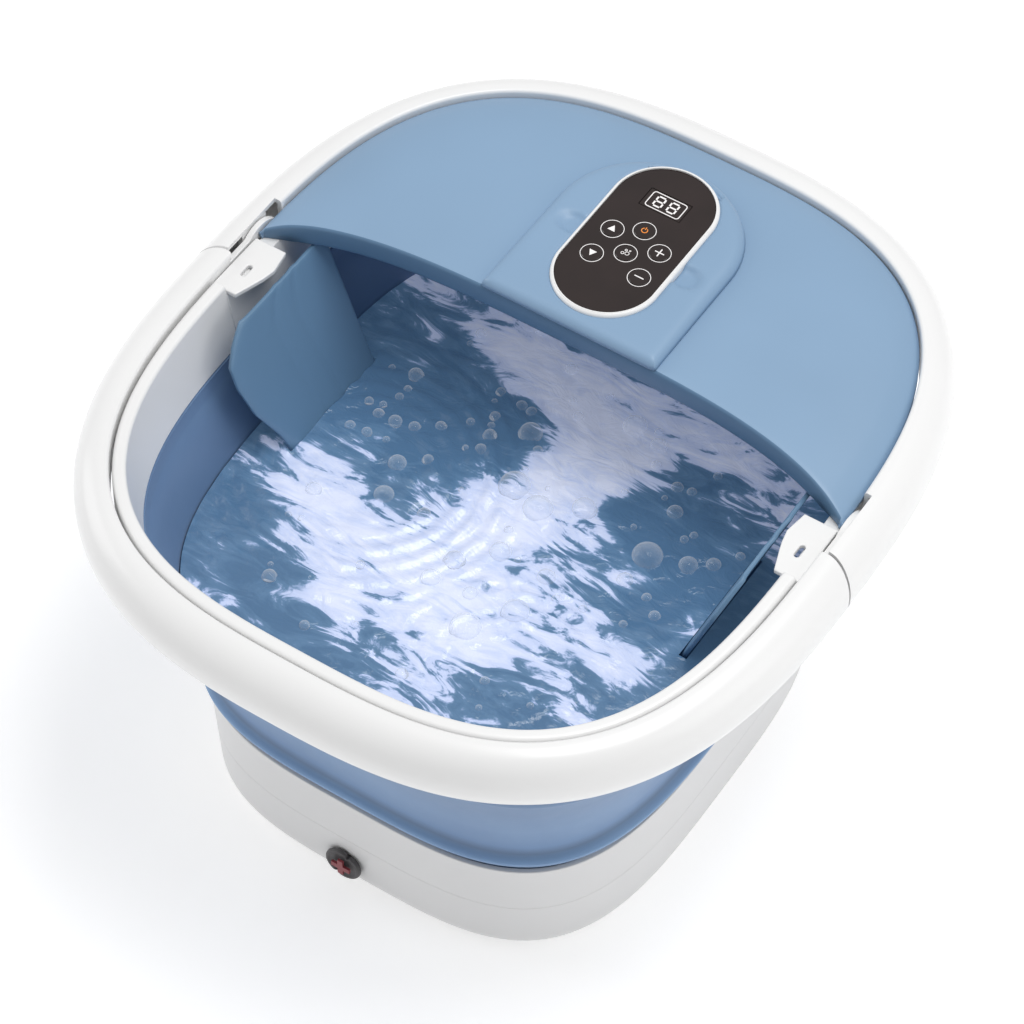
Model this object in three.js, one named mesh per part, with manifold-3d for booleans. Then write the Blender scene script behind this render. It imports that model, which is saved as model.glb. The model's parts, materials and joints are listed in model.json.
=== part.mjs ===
// Collapsible foot spa basin. Millimetres, +Z up, the user sits on the -Y side.
// The origin is on the floor, under the middle of the basin.
import * as THREE from 'three';
import { mergeVertices } from 'three/addons/utils/BufferGeometryUtils.js';
import Module from 'manifold-3d';

const wasm = await Module();
wasm.setup();

// ---- Driving dimensions -------------------------------------------------------------
const RIM_HALF_WIDTH = 190;
const EXTRA_HALF_LENGTH = 21.1;
const RIM_TOP = 245;
const RIM_BOTTOM = 210;
const BASE_TOP = 77.5;
const BASE_BOTTOM = 2;
const BASE_HALF_WIDTH = 127;
const BASE_TOP_HALF_WIDTH = 130;
const BASE_CORNER = 12;
const WALL = 2.5;
const GAP = 0.4;
const TUB_FLOOR = 33;
const TUB_HALF_WIDTH = 124;
const TUB_TOP = 76;
const FRAME_BOTTOM = 203;
const FRAME_TOP = 243;
const LIP_CUT = 236.6;
const LIP_END_Y = -20;
const SLOT_END_Y = 40;
const LID_HALF_WIDTH = 168.7;
const LID_BOTTOM = 237;
const LID_CROWN = 254;
const LID_FRONT_Y = 42;
const LID_FRONT_SWEEP = 22;
const PIVOT_Y = 22;
const PIVOT_Z = 226;
const TONGUE_RADIUS = 29;
const HANDLE_END_RADIUS = 30;
const EAR_INNER_X = 169.3;
const EAR_THICKNESS = 3;
const EAR_RADIUS = 17;
const PIN_RADIUS = 3;
const RUNNING_GAP = 0.35;
const CRADLE_TOP = 258;
const REMOTE_Y = 104;
const REMOTE_HALF_WIDTH = 28.5;
const REMOTE_HALF_STRAIGHT = 25.5;
const REMOTE_BOTTOM = 246;
const REMOTE_FACE_TOP = 260.2;
const KEY_RADIUS = 5.2;
const ROLLER_X = 69;
const ROLLER_Y = 50;
const ROLLER_Z = 55;
const ROLLER_LENGTH = 62;
const DRAIN_X = -6.5;
const DRAIN_Z = 22;
const SEGMENTS = 36;
const ARC_STEPS = 3;
const PILL_STEPS = 9;
const WELD = 1e-4;

const WHITE = { color: 0xf4f4f3, roughness: 0.32, metalness: 0 };
const BLUE = { color: 0x8faccd, roughness: 0.42, metalness: 0 };
const DEEP_BLUE = { color: 0x55779c, roughness: 0.4, metalness: 0 };
const SOFT_BLUE = { color: 0x7a9ac6, roughness: 0.5, metalness: 0 };
const GREY = { color: 0x4c4c50, roughness: 0.5, metalness: 0 };
const RED = { color: 0x8e3a40, roughness: 0.5, metalness: 0 };
const BLACK = { color: 0x1c1b1d, roughness: 0.6, metalness: 0 };
const FACE = { color: 0x2e2321, roughness: 0.08, metalness: 0 };
const STEEL = { color: 0xb9bcc0, roughness: 0.3, metalness: 1 };
const BOARD = { color: 0x1f6b3f, roughness: 0.5, metalness: 0 };

const model = new THREE.Group();

// ---- Solids and booleans -----------------------------------------------------------
function signedVolume(geometry) {
  const position = geometry.attributes.position;
  const index = geometry.index.array;
  const [a, b, c] = [new THREE.Vector3(), new THREE.Vector3(), new THREE.Vector3()];
  let sum = 0;
  for (let i = 0; i < index.length; i += 3) {
    a.fromBufferAttribute(position, index[i]);
    b.fromBufferAttribute(position, index[i + 1]);
    c.fromBufferAttribute(position, index[i + 2]);
    sum += a.dot(b.cross(c)) / 6;
  }
  return sum;
}

// Merges shared vertices, drops the flat triangles at the axis and faces the surface out.
function closed(geometry) {
  geometry.deleteAttribute('normal');
  geometry.deleteAttribute('uv');
  const merged = mergeVertices(geometry, WELD);
  const corners = merged.index.array;
  const kept = [];
  for (let i = 0; i < corners.length; i += 3) {
    const [a, b, c] = corners.slice(i, i + 3);
    if (a !== b && b !== c && c !== a) kept.push(a, b, c);
  }
  merged.setIndex(kept);
  if (signedVolume(merged) < 0) merged.setIndex(kept.reverse());
  return merged;
}

function toManifold(geometry) {
  const solid = closed(geometry.clone());
  return new wasm.Manifold(new wasm.Mesh({
    numProp: 3,
    vertProperties: Float32Array.from(solid.attributes.position.array),
    triVerts: Uint32Array.from(solid.index.array),
  }));
}

function fromManifold(solid) {
  const mesh = solid.getMesh();
  const geometry = new THREE.BufferGeometry();
  geometry.setAttribute('position', new THREE.BufferAttribute(mesh.vertProperties, 3));
  geometry.setIndex(Array.from(mesh.triVerts));
  return geometry;
}

function combine(method, first, others) {
  const result = others.reduce((sum, item) => sum[method](toManifold(item)), toManifold(first));
  return fromManifold(result);
}
const join = (first, ...others) => combine('add', first, others);
const cut = (first, ...others) => combine('subtract', first, others);
const common = (first, ...others) => combine('intersect', first, others);

// ---- Outlines ----------------------------------------------------------------------
// Every ring of the basin is a rounded rectangle named by its half-width: it is longer than
// wide by the same amount, and it gets squarer towards the base.
const squareness = (halfWidth) => 2.69 + 0.0135 * (RIM_HALF_WIDTH - halfWidth);
const halfLength = (halfWidth) => halfWidth + EXTRA_HALF_LENGTH * Math.min(1, halfWidth / 60);

function outlineReach(halfWidth, angle) {
  const n = squareness(halfWidth);
  const across = Math.abs(Math.cos(angle)) / halfWidth;
  const along = Math.abs(Math.sin(angle)) / halfLength(halfWidth);
  return (across ** n + along ** n) ** (-1 / n);
}

// Sweeps a profile of [half-width, height] points round the basin outline.
function ringSolid(profile, segments = SEGMENTS) {
  const lathe = new THREE.LatheGeometry(profile.map(([r, z]) => new THREE.Vector2(r, z)), segments);
  const position = lathe.attributes.position;
  for (let i = 0; i < position.count; i += 1) {
    const [r] = profile[i % profile.length];
    const angle = Math.atan2(position.getZ(i), position.getX(i));
    const reach = r > 0 ? outlineReach(r, angle) : 0;
    position.setXYZ(i, reach * Math.cos(angle), reach * Math.sin(angle), position.getY(i));
  }
  return closed(lathe);
}

const loop = (points) => [...points, points[0]];

// Points on an ellipse arc in the [half-width, height] plane, angles in degrees.
function arc(centreR, centreZ, radiusR, radiusZ, from, to, steps = ARC_STEPS) {
  return Array.from({ length: steps + 1 }, (_, i) => {
    const angle = THREE.MathUtils.degToRad(from + (to - from) * i / steps);
    return [centreR + radiusR * Math.cos(angle), centreZ + radiusZ * Math.sin(angle)];
  });
}

// ---- Plain shapes ------------------------------------------------------------------
function box(x0, x1, y0, y1, z0, z1) {
  const geometry = new THREE.BoxGeometry(x1 - x0, y1 - y0, z1 - z0);
  return geometry.translate((x0 + x1) / 2, (y0 + y1) / 2, (z0 + z1) / 2);
}

// A cylinder between two values on one axis; at holds the other two coordinates.
function rod(axis, from, to, radius, at, sides = 20) {
  const geometry = new THREE.CylinderGeometry(radius, radius, to - from, sides);
  const middle = (from + to) / 2;
  if (axis === 'x') return geometry.rotateZ(Math.PI / 2).translate(middle, at[0], at[1]);
  if (axis === 'y') return geometry.translate(at[0], middle, at[1]);
  return geometry.rotateX(Math.PI / 2).translate(at[0], at[1], middle);
}

function extrudeUp(shape, z0, z1, curveSegments = 12) {
  const geometry = new THREE.ExtrudeGeometry(shape, { depth: z1 - z0, bevelEnabled: false, curveSegments });
  return geometry.translate(0, 0, z0);
}

// A pill outline with its long axis on Y.
function pill(centreX, centreY, radius, halfStraight) {
  const shape = new THREE.Shape();
  shape.absarc(centreX, centreY + halfStraight, radius, 0, Math.PI, false);
  shape.absarc(centreX, centreY - halfStraight, radius, Math.PI, 2 * Math.PI, false);
  return shape;
}

const mirrored = (geometry, side) => (side > 0 ? geometry : closed(geometry.clone().scale(-1, 1, 1)));

function add(name, geometry, finish) {
  const solid = closed(geometry);
  solid.computeVertexNormals();
  const mesh = new THREE.Mesh(solid, new THREE.MeshStandardMaterial(finish));
  mesh.name = name;
  model.add(mesh);
}

const SIDES = [['left', -1], ['right', 1]];
const CORNERS = [
  ['front_left', -1, -1], ['front_right', 1, -1], ['rear_left', -1, 1], ['rear_right', 1, 1],
];

function cornerPoint(halfWidth, sideX, sideY) {
  const angle = Math.atan2(sideY, sideX);
  const reach = outlineReach(halfWidth, angle);
  return [reach * Math.cos(angle), reach * Math.sin(angle)];
}

// ---- Base --------------------------------------------------------------------------
const SCREW_RING = 104.5;
const FOOT_RING = 84;
const COVER_HALF_WIDTH = 111.8;
const FLANGE_BOTTOM = 5;
const GLAND_X = 60;
const GLAND_Z = 24;

function makeBaseShell() {
  const [cornerR, cornerZ] = [BASE_HALF_WIDTH - BASE_CORNER, BASE_BOTTOM + BASE_CORNER];
  const corner = arc(cornerR, cornerZ, BASE_CORNER, BASE_CORNER, -90, 0, 3);
  const innerCorner = arc(118, 15, 7, 7, 0, -90, 1);
  const profile = loop([
    [COVER_HALF_WIDTH + GAP, BASE_BOTTOM], ...corner,
    [BASE_TOP_HALF_WIDTH, BASE_TOP], [BASE_TOP_HALF_WIDTH - 2.8, BASE_TOP],
    [BASE_TOP_HALF_WIDTH - 2.8, 54],
    ...innerCorner, [98, 8], [98, FLANGE_BOTTOM], [COVER_HALF_WIDTH + GAP, FLANGE_BOTTOM],
  ]);
  const screwHoles = CORNERS.map(([, x, y]) => rod('z', 4, 9, 2, cornerPoint(SCREW_RING, x, y), 8));
  const drainHole = rod('y', -160, -130, 7.5, [DRAIN_X, DRAIN_Z]);
  const glandHole = rod('y', 130, 160, 5.4, [GLAND_X, GLAND_Z]);
  add('base_shell', cut(ringSolid(profile), drainHole, glandHole, ...screwHoles), WHITE);
}

function makeBottomCover() {
  const top = FLANGE_BOTTOM - GAP;
  const plate = ringSolid([[0, BASE_BOTTOM], [COVER_HALF_WIDTH, BASE_BOTTOM], [COVER_HALF_WIDTH, top], [0, top]]);
  const holes = [];
  for (const [, x, y] of CORNERS) {
    holes.push(rod('z', 1, 3.4, 4.2, cornerPoint(SCREW_RING, x, y), 12));
    holes.push(rod('z', 1, 6, 1.9, cornerPoint(SCREW_RING, x, y), 8));
    holes.push(rod('z', 1, 6, 3.5, cornerPoint(FOOT_RING, x, y), 12));
  }
  add('bottom_cover', cut(plate, ...holes), WHITE);
}

function makeFeetAndScrews() {
  const footProfile = [[0, 0], [8.5, 0], [10, 1.6], [3, 1.6], [3, 6], [0, 6]];
  const screwProfile = [[0, 2.2], [3.8, 2.2], [3.8, 3.1], [1.5, 3.1], [1.5, 13], [0, 14]];
  const turn = (points, at) => {
    const lathe = new THREE.LatheGeometry(points.map(([r, z]) => new THREE.Vector2(r, z)), 12);
    return lathe.rotateX(Math.PI / 2).translate(at[0], at[1], 0);
  };
  for (const [corner, x, y] of CORNERS) {
    add(`foot_${corner}`, turn(footProfile, cornerPoint(FOOT_RING, x, y)), BLACK);
    add(`bottom_screw_${corner}`, turn(screwProfile, cornerPoint(SCREW_RING, x, y)), STEEL);
  }
}

function makeFootTub() {
  const under = TUB_FLOOR - 3;
  const inner = TUB_HALF_WIDTH - 2.4;
  const outerCorner = arc(TUB_HALF_WIDTH - 12, under + 12, 12, 12, -90, 0, 2);
  const innerCorner = arc(inner - 12, TUB_FLOOR + 12, 12, 12, 0, -90, 2);
  const bowl = ringSolid([
    [0, under], ...outerCorner, [TUB_HALF_WIDTH, TUB_TOP], [inner, TUB_TOP], ...innerCorner, [0, TUB_FLOOR],
  ]);
  add('foot_tub', cut(bowl, rod('z', 20, 40, 5, [DRAIN_X, -122], 20)), DEEP_BLUE);
}

// ---- Collapsing wall ---------------------------------------------------------------
const BELLOWS_OUTER = [
  [126.8, 62], [126.8, 79], [134, 90], [130.2, 98], [133.2, 124],
  [142.6, 152], [142, 160], [149.2, 185], [155, 196], [155.5, 199.4],
];
const BELLOWS_WALL = 2.2;

function makeBellows() {
  const inner = BELLOWS_OUTER.slice(0, -1).map(([r, z]) => [r - BELLOWS_WALL, z]).reverse();
  const flange = [[162, 199.4], [162, 202.6], [153.4, 202.6]];
  add('bellows', ringSolid(loop([...BELLOWS_OUTER, ...flange, ...inner])), SOFT_BLUE);
}

function clampRing(name, r0, r1, z0, z1) {
  add(name, ringSolid(loop([[r0, z0], [r1, z0], [r1, z1], [r0, z1]])), WHITE);
}

// ---- Working parts under the tub ---------------------------------------------------
function makeHeater() {
  add('heater_plate', extrudeUp(pill(0, -40, 32, 34), 26.4, 29.6), STEEL);
  add('thermostat', rod('z', 20, 26, 9, [0, -40], 24), BLACK);
}

function makePump() {
  const body = box(-68, -18, 40, 86, 5.4, 22);
  const head = rod('y', 30, 42, 7.5, [-54, 14], 16);
  const nozzle = rod('y', 18, 32, 2.4, [-54, 14], 10);
  add('air_pump', join(body, head, nozzle), BLACK);
}

function makeAirHose() {
  const route = new THREE.CatmullRomCurve3([
    new THREE.Vector3(-54, 17.6, 14), new THREE.Vector3(-54, 8, 14),
    new THREE.Vector3(-58, -10, 15), new THREE.Vector3(-62, -24, 16),
  ]);
  const section = new THREE.Shape();
  section.absarc(0, 0, 3.2, 0, 2 * Math.PI, false);
  const hose = new THREE.ExtrudeGeometry(section, {
    extrudePath: route, steps: 6, bevelEnabled: false, curveSegments: 4,
  });
  add('air_hose', hose, BLACK);
}

function makeControlBoard() {
  const board = box(20, 92, 34, 90, 12, 13.6);
  const relay = box(30, 48, 44, 60, 13.2, 24);
  const terminal = box(62, 84, 70, 84, 13.2, 21);
  add('control_board', join(board, relay, terminal), BOARD);
}

function makeBubbleStrips() {
  const y0 = -92;
  const y1 = 14;
  for (const [side, sign] of SIDES) {
    const strip = extrudeUp(pill(sign * 58, (y0 + y1) / 2, 13, (y1 - y0) / 2 - 13), TUB_FLOOR + GAP, 37);
    const holes = [-34, -17, 0, 17, 34].map((y) => rod('z', 30, 40, 2.2, [sign * 58, y - 39], 6));
    add(`bubble_strip_${side}`, cut(strip, ...holes), DEEP_BLUE);
  }
}

// ---- Drain and power inlet ---------------------------------------------------------
function makeDrain() {
  const outer = join(rod('y', -144, -115, 7, [DRAIN_X, DRAIN_Z], 16), rod('z', 22, 29.6, 7, [DRAIN_X, -122], 16));
  const bore = join(rod('y', -150, -122, 5, [DRAIN_X, DRAIN_Z], 16), rod('z', 22, 31, 5, [DRAIN_X, -122], 16));
  add('drain_port', cut(outer, bore), GREY);
  const disc = rod('y', -152.4, -149.8, 10.4, [DRAIN_X, DRAIN_Z], 32);
  const stem = rod('y', -150, -134, 4.6, [DRAIN_X, DRAIN_Z], 16);
  add('drain_plug', join(disc, stem), GREY);
  const bar = box(-5.5, 5.5, -154.2, -152.8, -1.6, 1.6);
  const tab = join(bar, bar.clone().rotateY(Math.PI / 2));
  add('drain_plug_tab', tab.translate(DRAIN_X, 0, DRAIN_Z), RED);
}

function makeCordGland() {
  const flange = rod('y', 149.6, 152.4, 8.5, [GLAND_X, GLAND_Z], 20);
  const neck = rod('y', 138, 150, 5, [GLAND_X, GLAND_Z], 16);
  add('cord_gland', cut(join(flange, neck), rod('y', 130, 160, 3, [GLAND_X, GLAND_Z], 20)), BLACK);
}

// ---- Massage rollers ---------------------------------------------------------------
function lobedShape(radius, lobes, height) {
  const shape = new THREE.Shape();
  const steps = lobes * 2;
  for (let i = 0; i < steps; i += 1) {
    const angle = 2 * Math.PI * i / steps;
    const reach = radius + height * Math.cos(lobes * angle);
    shape.lineTo(reach * Math.cos(angle), reach * Math.sin(angle));
  }
  return shape;
}

function makeRoller(side, sign) {
  const cylinder = extrudeUp(lobedShape(15.5, 8, 1.5), -ROLLER_LENGTH / 2, ROLLER_LENGTH / 2);
  const groove = cut(rod('z', -2, 2, 19, [0, 0], 24), rod('z', -3, 3, 12.5, [0, 0], 24));
  const bored = cut(cylinder, rod('z', -50, 50, PIN_RADIUS + RUNNING_GAP, [0, 0], 16), groove);
  const centre = [sign * ROLLER_X, ROLLER_Y, ROLLER_Z];
  add(`roller_${side}`, bored.rotateY(Math.PI / 2).translate(...centre), DEEP_BLUE);

  const reach = ROLLER_LENGTH / 2 + 4;
  const axle = rod('x', -reach, reach, PIN_RADIUS, [0, 0], 20);
  add(`roller_axle_${side}`, axle.translate(...centre), STEEL);

  const cheekShape = new THREE.Shape();
  cheekShape.moveTo(-15, TUB_FLOOR + GAP - ROLLER_Z);
  cheekShape.lineTo(15, TUB_FLOOR + GAP - ROLLER_Z);
  cheekShape.lineTo(7, 3);
  cheekShape.absarc(0, 0, 7, 0.4, Math.PI - 0.4, false);
  const eye = new THREE.Path();
  eye.absarc(0, 0, PIN_RADIUS + 0.3, 0, 2 * Math.PI, true);
  cheekShape.holes.push(eye);
  const plate = extrudeUp(cheekShape, 0, 3, 8).rotateX(Math.PI / 2).rotateZ(Math.PI / 2);
  const inner = plate.clone().translate(-reach, 0, 0);
  const outer = plate.clone().translate(reach - 3, 0, 0);
  const foot = box(-reach, reach, -15, 15, TUB_FLOOR + GAP - ROLLER_Z, TUB_FLOOR + 2.4 - ROLLER_Z);
  add(`roller_bracket_${side}`, join(foot, inner, outer).translate(...centre), DEEP_BLUE);
}

// ---- Rim ---------------------------------------------------------------------------
function makeRimFrame() {
  const ring = ringSolid(loop([
    [154.2, FRAME_BOTTOM], [163, FRAME_BOTTOM], [163, 205.4], [157.2, 205.4], [162.3, 239.4],
    [164.2, 239.4], [165.6, 208], [168.2, 208], [166.6, 239.5],
    [164.8, FRAME_TOP], [161.6, FRAME_TOP], [160.1, 240],
  ]));
  const rearLip = box(-200, 200, LIP_END_Y, 250, LIP_CUT, 260);
  add('rim_frame', cut(ring, rearLip), WHITE);
}

// The hollow outer band, a hook open on its inner underside.
function bandProfile(innerHalfWidth) {
  const side = RIM_HALF_WIDTH - WALL;
  const shoulder = RIM_TOP - 17;
  return loop([
    [innerHalfWidth, 228], [innerHalfWidth, 243.2], [innerHalfWidth + 1.8, RIM_TOP],
    ...arc(172.5, shoulder, 17.5, 17, 90, 0), ...arc(174, 226, 16, 16, 0, -90),
    ...arc(174, 226, side - 174, 13.5, -90, 0), ...arc(172.5, shoulder, 15, 14.5, 0, 90),
    [innerHalfWidth + WALL, 242.5], [innerHalfWidth + WALL, 228],
  ]);
}

function makeRearShell() {
  const behindPivot = box(-250, 250, PIVOT_Y, 250, 190, 260);
  const tongues = rod('x', -250, 250, TONGUE_RADIUS, [PIVOT_Y, PIVOT_Z], 40);
  const band = common(ringSolid(bandProfile(169.5)), join(behindPivot, tongues));
  const slots = SIDES.map(([, sign]) => mirrored(box(160, 173, -40, SLOT_END_Y, 200, 260), sign));
  const bosses = SIDES.map(([, sign]) => mirrored(box(173, 176.2, PIVOT_Y - 10, PIVOT_Y + 10, 216, 243), sign));
  const pinHole = rod('x', -200, 200, PIN_RADIUS + RUNNING_GAP, [PIVOT_Y, PIVOT_Z], 20);
  const bored = cut(join(cut(band, ...slots), ...bosses), common(pinHole, box(-177, 177, 0, 50, 200, 250)));
  add('rear_rim_shell', bored, WHITE);
}

function makeHandle() {
  const ahead = box(-250, 250, -250, PIVOT_Y, 190, 260);
  const ends = rod('x', -250, 250, HANDLE_END_RADIUS, [PIVOT_Y, PIVOT_Z], 40);
  const bail = cut(common(ringSolid(bandProfile(169.2)), ahead), ends);
  const ears = SIDES.map(([, sign]) => {
    const [x0, x1] = [EAR_INNER_X, EAR_INNER_X + EAR_THICKNESS];
    const disc = rod('x', x0, x1, EAR_RADIUS, [PIVOT_Y, PIVOT_Z]);
    const arm = box(x0, x1, -34, PIVOT_Y, PIVOT_Z - 12, PIVOT_Z + 14);
    return mirrored(join(disc, arm), sign);
  });
  const pinHole = rod('x', -200, 200, PIN_RADIUS + RUNNING_GAP, [PIVOT_Y, PIVOT_Z], 20);
  add('carry_handle', cut(join(bail, ...ears), pinHole), WHITE);
}

function makePivotPin(side, sign) {
  const pin = rod('x', 168.6, 178, PIN_RADIUS, [PIVOT_Y, PIVOT_Z], 20);
  add(`pivot_pin_${side}`, mirrored(pin, sign), STEEL);
}

// A flat white shelf with a slot, in the notch where the front lip ends.
function makeHingeShelf(side, sign) {
  const outline = new THREE.Shape();
  outline.moveTo(166, LIP_END_Y + GAP);
  outline.lineTo(166, 17);
  outline.lineTo(150, 17);
  outline.lineTo(148, 4);
  outline.lineTo(151, -8);
  outline.lineTo(155, LIP_END_Y + GAP);
  const slot = new THREE.Path();
  slot.absarc(159.5, -1, 1.5, 0, Math.PI, false);
  slot.absarc(159.5, -6, 1.5, Math.PI, 2 * Math.PI, false);
  outline.holes.push(slot);
  add(`hinge_shelf_${side}`, mirrored(extrudeUp(outline, LIP_CUT + 0.3, 239.8, 6), sign), WHITE);
}

// A blue splash guard that hangs from the rim at each side of the foot opening.
function makeSideGuard(side, sign) {
  const outline = new THREE.Shape();
  outline.moveTo(40, 236);
  outline.lineTo(-30, 236);
  outline.bezierCurveTo(-44, 228, -50, 222, -48, 208);
  outline.bezierCurveTo(-46, 190, -36, 176, -30, 150);
  outline.lineTo(40, 150);
  const plate = new THREE.ExtrudeGeometry(outline, { depth: 3, bevelEnabled: false, curveSegments: 8 });
  plate.rotateX(Math.PI / 2).rotateZ(Math.PI / 2);
  const lean = (147 - 116.5) / (236 - 150);
  const position = plate.attributes.position;
  for (let i = 0; i < position.count; i += 1) {
    const z = position.getZ(i);
    position.setX(i, position.getX(i) + 144 - (236 - z) * lean);
  }
  add(`side_guard_${side}`, mirrored(plate, sign), DEEP_BLUE);
}

// ---- Lid ---------------------------------------------------------------------------
// The half-widths and heights down the crown of the lid, from the middle to the edge.
const LID_CROWN_LINE = [
  [0, LID_CROWN], [60, LID_CROWN - 0.3], [110, LID_CROWN - 1.2], [138, LID_CROWN - 2.8],
  [153, LID_CROWN - 5.4], [161, LID_CROWN - 8.2], [166.4, LID_CROWN - 11.2], [LID_HALF_WIDTH, 240],
];
const lidFront = (x) => LID_FRONT_Y - LID_FRONT_SWEEP * (Math.abs(x) / LID_HALF_WIDTH) ** 3.5;

function lidBody(shrink, drop, bottom) {
  const line = LID_CROWN_LINE.map(([r, z]) => [Math.max(0, r - shrink * r / LID_HALF_WIDTH), z - drop]);
  const edge = line[line.length - 1][0];
  const dome = ringSolid([...line, [edge, bottom], [0, bottom]]);
  const region = new THREE.Shape();
  region.moveTo(-200, 220);
  for (let x = -200; x <= 200; x += 10) region.lineTo(x, lidFront(Math.min(Math.abs(x), 172)) + shrink);
  region.lineTo(200, 220);
  return common(dome, extrudeUp(region, 200, 300));
}

function makeLid() {
  const shell = cut(lidBody(0, 0, LID_BOTTOM), lidBody(WALL, WALL, LID_BOTTOM - 10));
  const opening = extrudeUp(pill(0, REMOTE_Y, 33.4, REMOTE_HALF_STRAIGHT), 200, 300, PILL_STEPS);
  add('front_cover', cut(shell, opening), BLUE);
}

// The raised arch-ended platform with the pocket that the remote lies in.
function makeCradle() {
  const arch = new THREE.Shape();
  arch.moveTo(-49, LID_FRONT_Y + 1);
  arch.lineTo(49, LID_FRONT_Y + 1);
  arch.absarc(0, 112, 49, 0, Math.PI, false);
  const lidSolid = lidBody(0, 0, LID_BOTTOM - 20).translate(0, 0, 0.3);
  const platform = cut(extrudeUp(arch, 252, CRADLE_TOP, PILL_STEPS), lidSolid);
  const cup = extrudeUp(pill(0, REMOTE_Y, 33, REMOTE_HALF_STRAIGHT), 242.5, CRADLE_TOP, PILL_STEPS);
  const pocket = extrudeUp(pill(0, REMOTE_Y, 29.3, REMOTE_HALF_STRAIGHT), 245, 270, PILL_STEPS);
  const notches = rod('x', -38, 38, 8, [REMOTE_Y - 6, CRADLE_TOP + 3], 24);
  add('remote_cradle', cut(join(platform, cup), pocket, notches), BLUE);
}

// ---- Remote control ----------------------------------------------------------------
const REMOTE_KEYS = [
  ['key_time_up', -13.4, 104], ['key_time_down', -13.4, 85], ['key_power', 0.6, 111.5],
  ['key_bubble', 0.6, 94], ['key_temp_up', 14.6, 103], ['key_temp_down', 14.6, 84],
];
const DISPLAY_Y = 132;

function makeRemoteCase() {
  const outer = extrudeUp(pill(0, REMOTE_Y, REMOTE_HALF_WIDTH, REMOTE_HALF_STRAIGHT), REMOTE_BOTTOM, 256, PILL_STEPS);
  const hollow = extrudeUp(pill(0, REMOTE_Y, REMOTE_HALF_WIDTH - 2, REMOTE_HALF_STRAIGHT), 248, 270, PILL_STEPS);
  const capHole = rod('z', 240, 250, 12.4, [0, REMOTE_Y - 10]);
  add('remote_back_case', cut(outer, hollow, capHole), WHITE);
  const ring = extrudeUp(pill(0, REMOTE_Y, REMOTE_HALF_WIDTH, REMOTE_HALF_STRAIGHT), 256.3, 261, PILL_STEPS);
  const middle = extrudeUp(pill(0, REMOTE_Y, 26.6, REMOTE_HALF_STRAIGHT), 250, 270, PILL_STEPS);
  add('remote_bezel', cut(ring, middle), WHITE);
}

function makeRemoteFace() {
  const plate = extrudeUp(pill(0, REMOTE_Y, 26.3, REMOTE_HALF_STRAIGHT), 257.4, REMOTE_FACE_TOP, PILL_STEPS);
  const keyHoles = REMOTE_KEYS.map(([, x, y]) => rod('z', 250, 270, KEY_RADIUS + RUNNING_GAP, [x, y], 16));
  const window = box(-12, 12, DISPLAY_Y - 6.5, DISPLAY_Y + 6.5, 250, 270);
  add('remote_face', cut(plate, window, ...keyHoles), FACE);
  add('display', box(-11.6, 11.6, DISPLAY_Y - 6.1, DISPLAY_Y + 6.1, 255, REMOTE_FACE_TOP - 0.2), FACE);
}

function makeRemoteInside() {
  const board = extrudeUp(pill(0, REMOTE_Y, 25.6, REMOTE_HALF_STRAIGHT), 252.4, 254, 8);
  add('remote_board', board, BOARD);
  add('coin_cell', rod('z', 248.6, 251.8, 10, [0, REMOTE_Y - 10], 20), STEEL);
  const cap = rod('z', 246.1, 248.2, 12, [0, REMOTE_Y - 10], 20);
  const coinSlot = box(-8, 8, REMOTE_Y - 10.9, REMOTE_Y - 9.1, 245, 247);
  add('battery_cap', cut(cap, coinSlot), WHITE);
}

function makeKeys() {
  for (const [name, x, y] of REMOTE_KEYS) {
    add(name, rod('z', 255, REMOTE_FACE_TOP + 0.4, KEY_RADIUS, [x, y], 16), FACE);
  }
}

makeBaseShell();
makeBottomCover();
makeFeetAndScrews();
makeFootTub();
makeBellows();
clampRing('bellows_clamp_lower', 124.5, 126.8, 55, 61.6);
clampRing('bellows_clamp_upper', 156.2, 162, 195, 199);
makeHeater();
makePump();
makeAirHose();
makeControlBoard();
makeBubbleStrips();
makeDrain();
makeCordGland();
makeRimFrame();
makeRearShell();
makeHandle();
for (const [side, sign] of SIDES) {
  makeRoller(side, sign);
  makePivotPin(side, sign);
  makeHingeShelf(side, sign);
  makeSideGuard(side, sign);
}
makeLid();
makeCradle();
makeRemoteCase();
makeRemoteFace();
makeRemoteInside();
makeKeys();

export default model;
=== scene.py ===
"""Looks for the collapsible foot spa basin: smooth shells, remote details, water and materials."""
import json
import math
import random

import bmesh
import bpy
import numpy as np
from mathutils import Matrix, Vector


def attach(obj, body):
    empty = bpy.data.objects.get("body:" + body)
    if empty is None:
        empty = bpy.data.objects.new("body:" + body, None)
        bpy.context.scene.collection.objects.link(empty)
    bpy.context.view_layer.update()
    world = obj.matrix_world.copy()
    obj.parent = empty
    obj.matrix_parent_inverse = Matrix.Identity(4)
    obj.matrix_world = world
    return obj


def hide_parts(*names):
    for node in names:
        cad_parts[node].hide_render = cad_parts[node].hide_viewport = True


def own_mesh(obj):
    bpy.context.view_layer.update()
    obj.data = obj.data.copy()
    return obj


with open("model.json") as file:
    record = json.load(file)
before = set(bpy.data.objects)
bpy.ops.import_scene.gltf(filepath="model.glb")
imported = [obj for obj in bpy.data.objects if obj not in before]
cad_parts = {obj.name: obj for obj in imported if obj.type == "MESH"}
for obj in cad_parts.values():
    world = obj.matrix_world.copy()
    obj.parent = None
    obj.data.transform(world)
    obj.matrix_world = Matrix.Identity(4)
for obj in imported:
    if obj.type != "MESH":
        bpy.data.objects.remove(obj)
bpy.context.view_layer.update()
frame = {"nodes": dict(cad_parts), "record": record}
NODES = frame["nodes"]
MM = 0.001
random.seed(7)

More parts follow.
